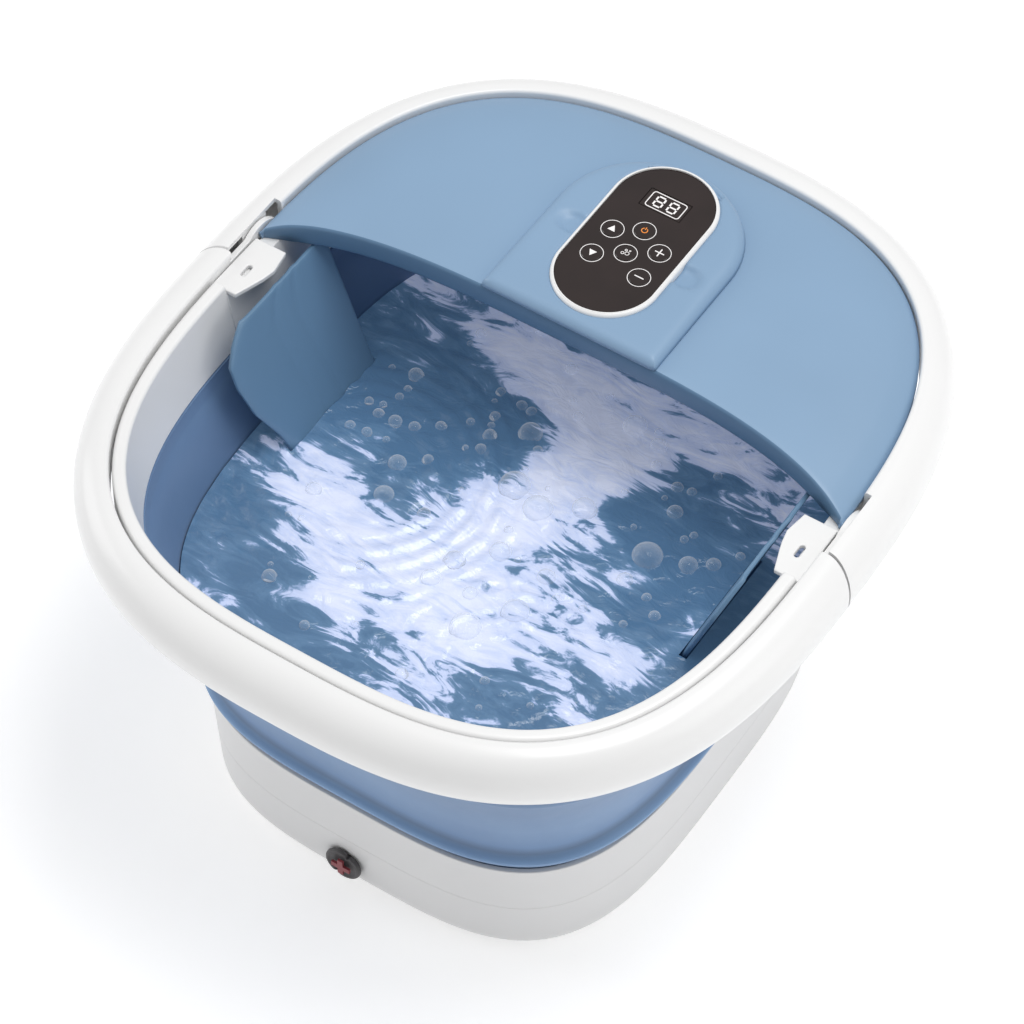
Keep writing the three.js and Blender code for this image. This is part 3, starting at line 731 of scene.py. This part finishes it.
# ---- Lid --------------------------------------------------------------------------------
LID_LINE = [
    (0, LID_CROWN), (60, LID_CROWN - 0.3), (110, LID_CROWN - 1.2), (138, LID_CROWN - 2.8),
    (153, LID_CROWN - 5.4), (161, LID_CROWN - 8.2), (166.4, LID_CROWN - 11.2), (LID_HALF_WIDTH, 240),
]
LID_SMOOTH = smooth_line(LID_LINE, 8)


def lid_front(x):
    return LID_FRONT_Y - LID_FRONT_SWEEP * (min(abs(x), LID_HALF_WIDTH) / LID_HALF_WIDTH) ** 3.5


def crown_height(x, y):
    return lerp_table(LID_SMOOTH, outline_level(x, y))


def make_lid():
    """The domed cover, front lip to rim. Known fault: it has no opening under the remote."""
    start = angle_at_y(LID_HALF_WIDTH, lid_front(168.5))
    columns, rows = 150, 56
    lip = [(0.7, -13.0), (0.2, -11.6), (0.05, -6.0), (0.15, -1.8), (0.6, -0.7), (1.4, -0.2), (3.0, 0.0)]
    verts = []
    for i in range(columns):
        angle = start + (math.pi - 2 * start) * i / (columns - 1)
        edge_x, edge_y = outline_point(LID_HALF_WIDTH, angle)
        share = math.cos(math.pi * i / (columns - 1))
        front_x = share * 167.9
        front_y = lid_front(front_x)
        run = math.hypot(edge_x - front_x, edge_y - front_y)
        for back, drop in lip:
            k = min(0.5, back / max(run, 4.0))
            x, y = front_x + (edge_x - front_x) * k, front_y + (edge_y - front_y) * k
            z = max(crown_height(x, y) + drop, LID_BOTTOM + 0.1)
            verts.append((x, y, z))
        k0 = min(0.5, lip[-1][0] / max(run, 4.0))
        for j in range(1, rows):
            k = k0 + (1 - k0) * (1 - (1 - j / (rows - 1)) ** 1.5)
            x, y = front_x + (edge_x - front_x) * k, front_y + (edge_y - front_y) * k
            verts.append((x, y, crown_height(x, y)))
        verts.append((edge_x, edge_y, LID_BOTTOM + 0.2))
    lid = make_object("front_cover_skin", verts, grid_faces(columns, len(lip) + rows, False, False))
    thickness = lid.modifiers.new("wall", "SOLIDIFY")
    thickness.thickness = 2.0 * MM
    thickness.offset = -1
    finish_piece(lid, LID_BLUE, "cover", "lid_blue", "front_cover")
    lid.data.materials.append(LID_EDGE_SHADE)
    # The front lip's faces take the darker copy: painted shade.
    for polygon in lid.data.polygons:
        x, y, z = (c / MM for c in polygon.center)
        ahead = y < lid_front(x) + 1.2 and abs(x) < 166.5
        if ahead and z < crown_height(x, y) - 0.4:
            polygon.material_index = 1


def cradle_reach(angle):
    """How far the platform's edge is from the remote's middle in one direction."""
    dx, dy = math.cos(angle), math.sin(angle)
    front = LID_FRONT_Y + 0.8 - REMOTE_Y
    options = []
    if dy < 0:
        options.append(front / dy)
    if abs(dx) > 1e-6:
        side = CRADLE_HALF_WIDTH / abs(dx)
        if REMOTE_Y + side * dy <= ARCH_Y:
            options.append(side)
    offset = ARCH_Y - REMOTE_Y
    root = CRADLE_HALF_WIDTH**2 - (offset * dx) ** 2
    arch = offset * dy + math.sqrt(root)
    if REMOTE_Y + arch * dy > ARCH_Y:
        options.append(arch)
    return min(options)


def pill_reach(radius, angle):
    dx, dy = abs(math.cos(angle)), abs(math.sin(angle))
    side = radius / dx if dx > 1e-6 else 1e9
    if side * dy <= HALF_STRAIGHT:
        return side
    return HALF_STRAIGHT * dy + math.sqrt(radius**2 - (HALF_STRAIGHT * dx) ** 2)


def make_cradle():
    """The arch platform, pocket and finger scoops. Known fault: the sheet thickens into the pocket."""
    count = 288
    corner = math.atan2(LID_FRONT_Y + 0.8 - REMOTE_Y, CRADLE_HALF_WIDTH)
    angles = sorted([2 * math.pi * i / count - math.pi for i in range(count)] + [corner, -math.pi - corner])
    shoulder = [(0.0, None), (0.6, 0.45), (1.6, 0.75), (3.0, 0.93), (5.0, 1.0)]
    spread = [0.15, 0.3, 0.45, 0.6, 0.72, 0.82, 0.9, 0.96]
    verts = []
    for angle in angles:
        outer, inner = cradle_reach(angle), pill_reach(29.6, angle)
        radii = [outer - inset for inset, _ in shoulder]
        radii += [outer - 5 + (inner - outer + 5) * s for s in spread]
        radii.append(inner)
        for index, radius in enumerate(radii):
            x, y = radius * math.cos(angle), REMOTE_Y + radius * math.sin(angle)
            ground = crown_height(x, y)
            share = shoulder[index][1] if index < len(shoulder) else 1.0
            z = ground + 0.1 if share is None else ground + (CRADLE_TOP - ground) * share
            for side in (-1, 1):
                away = math.hypot((x - side * 33) / 9.0, (y - 98) / 8.0)
                z -= 2.6 * max(0.0, 1 - away**4)
            verts.append((x, y, z))
        inner_x, inner_y = math.cos(angle), math.sin(angle)
        for radius, z in ((inner - 0.35, verts[-1][2] - 0.35), (inner - 0.4, 246.0), (inner - 1.2, 245.0)):
            verts.append((radius * inner_x, REMOTE_Y + radius * inner_y, z))
    columns = len(verts) // len(angles)
    faces = grid_faces(len(angles), columns, True, False)
    verts.append((0, REMOTE_Y, 245.0))
    for i in range(len(angles)):
        k = (i + 1) % len(angles)
        faces.append((i * columns + columns - 1, k * columns + columns - 1, len(verts) - 1))
    cradle = make_object("remote_cradle_skin", verts, faces)
    thickness = cradle.modifiers.new("wall", "SOLIDIFY")
    thickness.thickness = 1.4 * MM
    thickness.offset = -1
    by_angle(cradle, 60)
    finish_piece(cradle, LID_BLUE, "cover", "lid_blue", "remote_cradle")


# ---- Remote -----------------------------------------------------------------------------
def make_remote():
    edge = REMOTE_HALF_WIDTH
    case = pill_loft("remote_back_case_skin", [
        (24.5, 246), *arc(24.5, 249.5, 4, 3.5, -80, 0, 6), (edge, 256),
        (edge - 2, 256), (edge - 2, 250), (24, 248),
    ], closed=False)
    case.data.materials.clear()
    apply_boolean(case, round_tool("z", (0, REMOTE_Y - 10), 240, 249.5, 12.4))
    finish_piece(by_angle(case), WHITE, "remote", "white_shell", "remote_back_case")
    bezel = pill_loft("remote_bezel_skin", [
        (edge, 256.3), (edge, 258.6), *arc(edge - 2, 259, 2, 2, 0, 90, 7), (27.2, 261.0),
        *arc(27.2, 260.4, 0.6, 0.6, 90, 180, 4), (26.6, 256.3),
    ])
    finish_piece(by_angle(bezel, 60), WHITE, "remote", "white_shell", "remote_bezel")
    face = prism("remote_face_skin", pill_outline(26.3, 128), 257.4, FACE_TOP)
    for _, x, y, _ in KEYS:
        apply_boolean(face, round_tool("z", (x, y), 250, 270, KEY_RADIUS + 0.3, 64))
    low, high = DISPLAY_Y - 6.5, DISPLAY_Y + 6.5
    apply_boolean(face, prism("tool", [(-12, low), (12, low), (12, high), (-12, high)], 250, 270))
    soften(by_angle(face), 0.15, 50)
    finish_piece(face, FACE, "remote", "remote_gloss", "remote_face")


KEYS = [
    ("key_time_up", -13.4, 104, "up"), ("key_time_down", -13.4, 85, "down"),
    ("key_power", 0.6, 111.5, "power"), ("key_bubble", 0.6, 94, "bubble"),
    ("key_temp_up", 14.6, 103, "plus"), ("key_temp_down", 14.6, 84, "minus"),
]
KEY_TOP = FACE_TOP + 0.4
INK_HEIGHT = 0.12


def flat_ring(x, y, outer, inner, start=0.0, end=360.0, count=48, base=KEY_TOP):
    """A flat ring or an open arc of print, as one thin solid."""
    whole = end - start >= 360
    steps = count if whole else count + 1
    verts = []
    for i in range(steps):
        a = math.radians(start + (end - start) * i / count)
        for r, z in ((outer, 0), (outer, INK_HEIGHT), (inner, INK_HEIGHT), (inner, 0)):
            verts.append((x + r * math.cos(a), y + r * math.sin(a), base + z))
    faces = grid_faces(steps, 4, whole, True)
    if not whole:
        faces += [(3, 2, 1, 0), tuple(range((steps - 1) * 4, steps * 4))]
    return make_object("print", verts, faces, smooth=False)


def flat_shape(points, base=KEY_TOP):
    return prism("print", points, base, base + INK_HEIGHT)


def flat_bar(x, y, width, height, base=KEY_TOP):
    return flat_shape([(x - width / 2, y - height / 2), (x + width / 2, y - height / 2),
                       (x + width / 2, y + height / 2), (x - width / 2, y + height / 2)], base)


def key_icon(kind, x, y):
    if kind in ("up", "down"):
        s = 1 if kind == "up" else -1
        return [flat_shape([(x - 2.1, y - 1.5 * s), (x + 2.1, y - 1.5 * s), (x, y + 2.2 * s)][::s])]
    if kind == "plus":
        return [flat_bar(x, y, 5.2, 0.6), flat_bar(x, y + 1.45, 0.6, 2.3), flat_bar(x, y - 1.45, 0.6, 2.3)]
    if kind == "minus":
        return [flat_bar(x, y, 5.2, 0.6)]
    if kind == "power":
        return [flat_ring(x, y, 1.75, 1.3, 120, 420), flat_bar(x, y + 1.4, 0.45, 1.7)]
    dots = [(-1.3, -0.9, 0.9), (0.9, -0.2, 1.2), (-0.6, 1.5, 0.7), (1.4, 2.0, 0.5)]
    return [flat_ring(x + dx, y + dy, r, r - 0.3, count=24) for dx, dy, r in dots]


def make_keys():
    for node, x, y, kind in KEYS:
        cap_profile = [(KEY_RADIUS, 255), (KEY_RADIUS, KEY_TOP - 0.25), (KEY_RADIUS - 0.25, KEY_TOP)]
        verts = [(x + r * math.cos(a), y + r * math.sin(a), z) for a in
                 (2 * math.pi * i / 64 for i in range(64)) for r, z in cap_profile]
        faces = grid_faces(64, 3, True, False)
        faces += [tuple(i * 3 for i in range(64)), tuple(i * 3 + 2 for i in range(64))]
        cap = by_angle(make_object(f"{node}_cap", verts, faces), 30)
        finish_piece(cap, FACE, node, "remote_gloss", node)
        prints = key_icon(kind, x, y)
        icon = join_meshes(f"{node}_icon", prints)
        finish_piece(icon, ORANGE_INK if kind == "power" else INK, node, "remote_gloss")
    rings = join_meshes("key_ring_prints", [flat_ring(x, y, 5.95, 5.6, base=FACE_TOP) for _, x, y, _ in KEYS])
    finish_piece(rings, INK, "remote", "remote_gloss")


def rounded_frame(half_x, half_y, radius, line):
    """The display's outline: a slim rounded frame."""
    verts = []
    count = 40
    for i in range(count):
        a = 2 * math.pi * (i + 0.5) / count
        cx = (half_x - radius) * (1 if math.cos(a) > 0 else -1)
        cy = (half_y - radius) * (1 if math.sin(a) > 0 else -1)
        for r, z in ((radius, 0), (radius, INK_HEIGHT), (radius - line, INK_HEIGHT), (radius - line, 0)):
            px, py = cx + r * math.cos(a), cy + r * math.sin(a)
            verts.append((0.4 + px, DISPLAY_Y + py, FACE_TOP - 0.1 + z))
    return make_object("print", verts, grid_faces(count, 4, True, True), smooth=False)


def make_display():
    """A smoked window with a slim frame and two seven-segment eights."""
    low, high = DISPLAY_Y - 6.1, DISPLAY_Y + 6.1
    outline = [(-11.6, low), (11.6, low), (11.6, high), (-11.6, high)]
    window = prism("display_window", outline, 255, FACE_TOP - 0.1)
    finish_piece(window, FACE, "remote", "remote_gloss", "display")
    pieces = [rounded_frame(9.9, 5.5, 1.8, 0.5)]
    for centre in (-3.5, 4.3):
        for dy in (-3.3, 0.0, 3.3):
            pieces.append(flat_bar(centre, DISPLAY_Y + dy, 3.5, 0.9, FACE_TOP - 0.1))
        for dx in (-2.2, 2.2):
            for dy in (-1.65, 1.65):
                pieces.append(flat_bar(centre + dx, DISPLAY_Y + dy, 0.9, 2.4, FACE_TOP - 0.1))
    digits = join_meshes("display_digits", pieces)
    finish_piece(digits, INK, "remote", "remote_gloss")


# ---- Drain plug -------------------------------------------------------------------------
def make_drain_plug():
    """A dished grey plug with two finger notches in its edge."""
    centre_x, centre_z = -6.5, 22.0
    rings = [(4.6, -134), (4.6, -149.8), (10.0, -149.8), (10.4, -150.3), (10.4, -151.6), (9.9, -152.3),
             (8.8, -152.4), (7.9, -151.7), (4.0, -151.5)]
    count = 96
    verts = []
    for i in range(count):
        a = 2 * math.pi * i / count
        turns_away = [(a - place + math.pi) % (2 * math.pi) - math.pi for place in (1.2, 4.34)]
        notch = max(math.exp(-((turn / 0.12) ** 2)) for turn in turns_away)
        for r, y in rings:
            radius = r - (2.4 * notch if r > 8.5 else 0)
            verts.append((centre_x + radius * math.cos(a), y, centre_z + radius * math.sin(a)))
    columns = len(rings)
    faces = grid_faces(count, columns, True, False)
    faces.append(tuple(i * columns for i in range(count)))
    faces.append(tuple(i * columns + columns - 1 for i in range(count)))
    plug = by_angle(make_object("drain_plug_skin", verts, faces), 40)
    finish_piece(plug, GREY, "drain_plug", "grey_plastic", "drain_plug")


# ---- Water ------------------------------------------------------------------------------
def bellows_inner(z):
    """The half-width of the folding wall's inside at a height."""
    return lerp_table([(h, r - 2.1) for r, h in BELLOWS_LINE], z)


def wave(x, y):
    """Height of the rippled surface in millimetres: slow swell, bow waves and small chop."""
    swell = 0.5 * math.sin(0.045 * x + 0.03 * y + 1.2) + 0.4 * math.sin(0.06 * y - 0.02 * x)
    source = math.hypot(x + 78, y + 20)
    rings = 0.75 * math.sin(source * 0.62) * math.exp(-((source - 62) / 34) ** 2)
    second = math.hypot(x - 52, y + 92)
    rings += 0.6 * math.sin(second * 0.75 + 1.0) * math.exp(-((second - 40) / 26) ** 2)
    bend = 6 * math.sin(0.05 * x + 0.4) + 4 * math.sin(0.083 * y)
    chop = 0.3 * math.sin(0.31 * (x + bend) + 0.22 * y) + 0.25 * math.sin(0.27 * (y - bend) - 0.35 * x + 2)
    return swell + rings + 0.8 * chop


# Where the painted reflections and some pale foam gather, and the dark pools over the rollers: x, y, reach,
# strength.
FOAM_REFLECTION_AND_POOL_SPOTS = [
    (8, 26, 30, 1.0), (-2, -20, 34, 1.0), (0, -62, 36, 1.0), (10, -104, 34, 0.8), (-48, -74, 34, 0.75),
    (-92, -52, 22, 0.55), (-64, 84, 24, 0.9), (-30, 78, 24, 0.9), (0, 84, 26, 0.9), (49, 92, 30, 0.9),
    (97, 84, 34, 0.9), (-90, 44, 15, 0.6), (60, -52, 24, 0.55), (94, -70, 26, 0.45), (34, 52, 26, 0.8),
    (-57, 12, 25, -1.2), (-34, 40, 22, -1.1), (78, 24, 27, -1.2), (112, 14, 22, -1.0), (48, 26, 14, -0.4),
    (-120, 20, 40, -1.2), (-125, -70, 20, -0.8), (-84, -104, 22, -0.7), (90, -20, 18, -0.8),
]


def foam_reflections_and_pools(x, y):
    """How much painted reflection and pale foam there is at a place on the water, around zero."""
    return sum(w * math.exp(-((x - a) ** 2 + (y - b) ** 2) / r**2) for a, b, r, w in FOAM_REFLECTION_AND_POOL_SPOTS)


def water_material():
    """Opaque slate-blue water: pale patches with crisp wavy edges and fine streaks as painted reflections,
    dark pools, and a faint painted glow.
    """
    shader = Shader("water_surface")
    painted = shader.nodes.new("ShaderNodeAttribute")
    painted.attribute_name = "foam_reflections_and_pools"
    patches = shader.noise(17.0, 2.0, distortion=1.2, roughness=0.45)
    streaks = shader.noise(38.0, 5.0, stretch=(0.55, 1.6, 1), distortion=2.2, roughness=0.6)
    amount = shader.maths("MULTIPLY", painted.outputs["Fac"], 0.15)
    broad = shader.maths("MULTIPLY", patches, 0.42)
    ragged = shader.maths("ADD", broad, shader.maths("MULTIPLY", streaks, 0.58))
    blended = shader.maths("ADD", ragged, amount)
    colours = [
        (0.43, (0.075, 0.155, 0.27)), (0.53, (0.105, 0.20, 0.33)), (0.552, (0.25, 0.35, 0.54)),
        (0.572, (0.50, 0.58, 0.80)), (0.70, (0.66, 0.71, 0.87)),
    ]
    tint = shader.ramp(blended, colours)
    shader.link(tint, "Base Color")
    # Painted light: the water glows in its own colours, which lifts the parts the lid shades.
    shader.link(tint, "Emission Color")
    shader.set(Emission_Strength=0.28)
    shader.link(shader.span(streaks, 0.03, 0.09), "Roughness")
    shader.bump(shader.noise(75.0, 3.0, stretch=(0.8, 1.3, 1), distortion=1.5), 0.35, 0.004)
    shader.set(IOR=1.33, Coat_Weight=0.4, Coat_Roughness=0.03, Specular_IOR_Level=0.6)
    return shader.material


def make_water():
    """The tub's contents: a rippled sheet of water with a shallow body under it."""
    reach = bellows_inner(WATER_LEVEL) - 1.2
    rings, turns = 90, 240
    verts = [(0, 0, WATER_LEVEL + wave(0, 0))]
    for i in range(1, rings + 1):
        share = i / rings
        for j in range(turns):
            angle = 2 * math.pi * j / turns
            edge_x, edge_y = outline_point(reach, angle)
            x, y = edge_x * share, edge_y * share
            verts.append((x, y, WATER_LEVEL + wave(x, y) * min(1.0, (1 - share) * 14 + 0.25)))
    faces = [(0, 1 + j, 1 + (j + 1) % turns) for j in range(turns)]
    for i in range(rings - 1):
        for j in range(turns):
            k = (j + 1) % turns
            first, second = 1 + i * turns, 1 + (i + 1) * turns
            faces.append((first + j, second + j, second + k, first + k))
    last = 1 + (rings - 1) * turns
    base = len(verts)
    for j in range(turns):
        x, y = outline_point(reach, 2 * math.pi * j / turns)
        verts.append((x, y, WATER_LEVEL - 5))
    for j in range(turns):
        k = (j + 1) % turns
        faces.append((last + j, base + j, base + k, last + k))
    faces.append(tuple(range(base, base + turns)))
    water = make_object("water_fill", verts, faces)
    cut_round_guards(water)
    by_angle(water, 60)
    paint = water.data.attributes.new("foam_reflections_and_pools", "FLOAT", "POINT")
    for vertex, value in zip(water.data.vertices, paint.data):
        value.value = foam_reflections_and_pools(vertex.co.x / MM, vertex.co.y / MM)
    finish_piece(water, water_material(), "base", "water")
    squash_down(water)


def cut_round_guards(water):
    """Keeps the water clear of the two side guards that dip into it."""
    low, high = WATER_LEVEL - 20, WATER_LEVEL + 20
    for sign in (-1, 1):
        verts = []
        for y in (-33.8, 41.0):
            for z in (low, high):
                middle = 147 - (236 - z) * (147 - 116.5) / 86 - 3
                verts += [(sign * (middle - 1.6), y, z), (sign * (middle + 2.9), y, z)]
        faces = [(0, 1, 3, 2), (4, 6, 7, 5), (0, 4, 5, 1), (2, 3, 7, 6), (0, 2, 6, 4), (1, 5, 7, 3)]
        apply_boolean(water, make_object("tool", verts, faces, smooth=False))


def bubble_material():
    """A thin wet film: nearly clear in the middle, pale at its rim as a painted reflection, with a faint
    painted glow.
    """
    shader = Shader("bubble_film")
    facing = shader.nodes.new("ShaderNodeLayerWeight")
    facing.inputs["Blend"].default_value = 0.35
    swirl = shader.noise(300.0, 2.0)
    # The pale colour at the rim is a painted reflection, and the emission below a painted glow.
    shader.link(shader.ramp(swirl, [(0.3, (0.78, 0.85, 0.93)), (0.7, (0.92, 0.95, 0.99))]), "Base Color")
    shader.link(shader.span(shader.maths("POWER", facing.outputs["Facing"], 1.2), 0.05, 1.0), "Alpha")
    shader.set(Roughness=0.04, IOR=1.33, Specular_IOR_Level=1.0, Coat_Weight=1.0, Coat_Roughness=0.02,
               Emission_Color=(0.85, 0.9, 1.0, 1.0), Emission_Strength=0.12)
    return shader.material


def in_open_water(x, y, margin):
    clear = outline_level(x, y) < bellows_inner(WATER_LEVEL) - 6 - margin
    beside_guard = abs(x) > 112 - margin and -56 < y
    return clear and not beside_guard


def make_bubbles():
    """Domes of many sizes that float where the air comes up, mostly near the lid."""
    places = []
    attempts = 0
    while len(places) < 90 and attempts < 4000:
        attempts += 1
        near_lid = random.random() < 0.72
        x = random.uniform(-105, 110)
        y = random.gauss(22, 34) if near_lid else random.uniform(-140, 20)
        radius = min(8.0, 1.5 + random.expovariate(1 / 2.1))
        if not in_open_water(x, y, radius):
            continue
        if all(math.hypot(x - a, y - b) > radius + r + 0.6 for a, b, r in places):
            places.append((x, y, radius))
    verts, faces = [], []
    rings, turns = 9, 28
    for x, y, radius in places:
        base = len(verts)
        level = WATER_LEVEL + wave(x, y)
        for i in range(rings):
            tilt = (math.pi / 2 + 0.25) * (i / (rings - 1)) - 0.25
            flare = 1.18 if i == 0 else 1.0
            for j in range(turns):
                a = 2 * math.pi * j / turns
                r = max(0.02, math.cos(tilt)) * radius * flare
                z = level + math.sin(tilt) * radius * 0.72
                verts.append((x + r * math.cos(a), y + r * math.sin(a), z))
        faces += [tuple(base + v for v in f) for f in grid_faces(rings, turns, False, True)]
        faces.append(tuple(base + (rings - 1) * turns + j for j in range(turns)))
        faces.append(tuple(base + j for j in reversed(range(turns))))
    bubbles = make_object("water_bubbles", verts, faces)
    finish_piece(bubbles, bubble_material(), "base", "water")
    squash_down(bubbles)


# ---- Carried-over CAD nodes -------------------------------------------------------------
def dress_cad_nodes():
    """Gives every CAD node that still shows its material, and a fine bevel."""
    looks = {
        "white_shell": WHITE, "lid_blue": LID_BLUE, "deep_blue_plastic": DEEP_BLUE, "bellows_blue": BELLOWS,
        "remote_gloss": FACE, "grey_plastic": GREY, "red_plastic": RED, "black_plastic": BLACK,
        "black_rubber": RUBBER, "steel": STEEL, "heater_aluminium": ALUMINIUM, "circuit_board": BOARD,
    }
    for row in frame["record"]["subparts"]:
        node = NODES[row["node"]]
        if node.hide_render:
            continue
        node.data.materials.clear()
        node.data.materials.append(looks[row["material_slot"]])
        by_angle(node, 35)
        soften(node, 0.3, 40)


make_camera()
make_stage()
make_base()
make_tub()
make_bellows()
make_outer_band()
make_rim_frame()
for side_name, side_sign in (("left", -1), ("right", 1)):
    make_side_guard(side_name, side_sign)
    make_hinge_shelf(side_name, side_sign)
make_lid()
make_cradle()
make_remote()
make_keys()
make_display()
make_drain_plug()
make_water()
make_bubbles()
dress_cad_nodes()
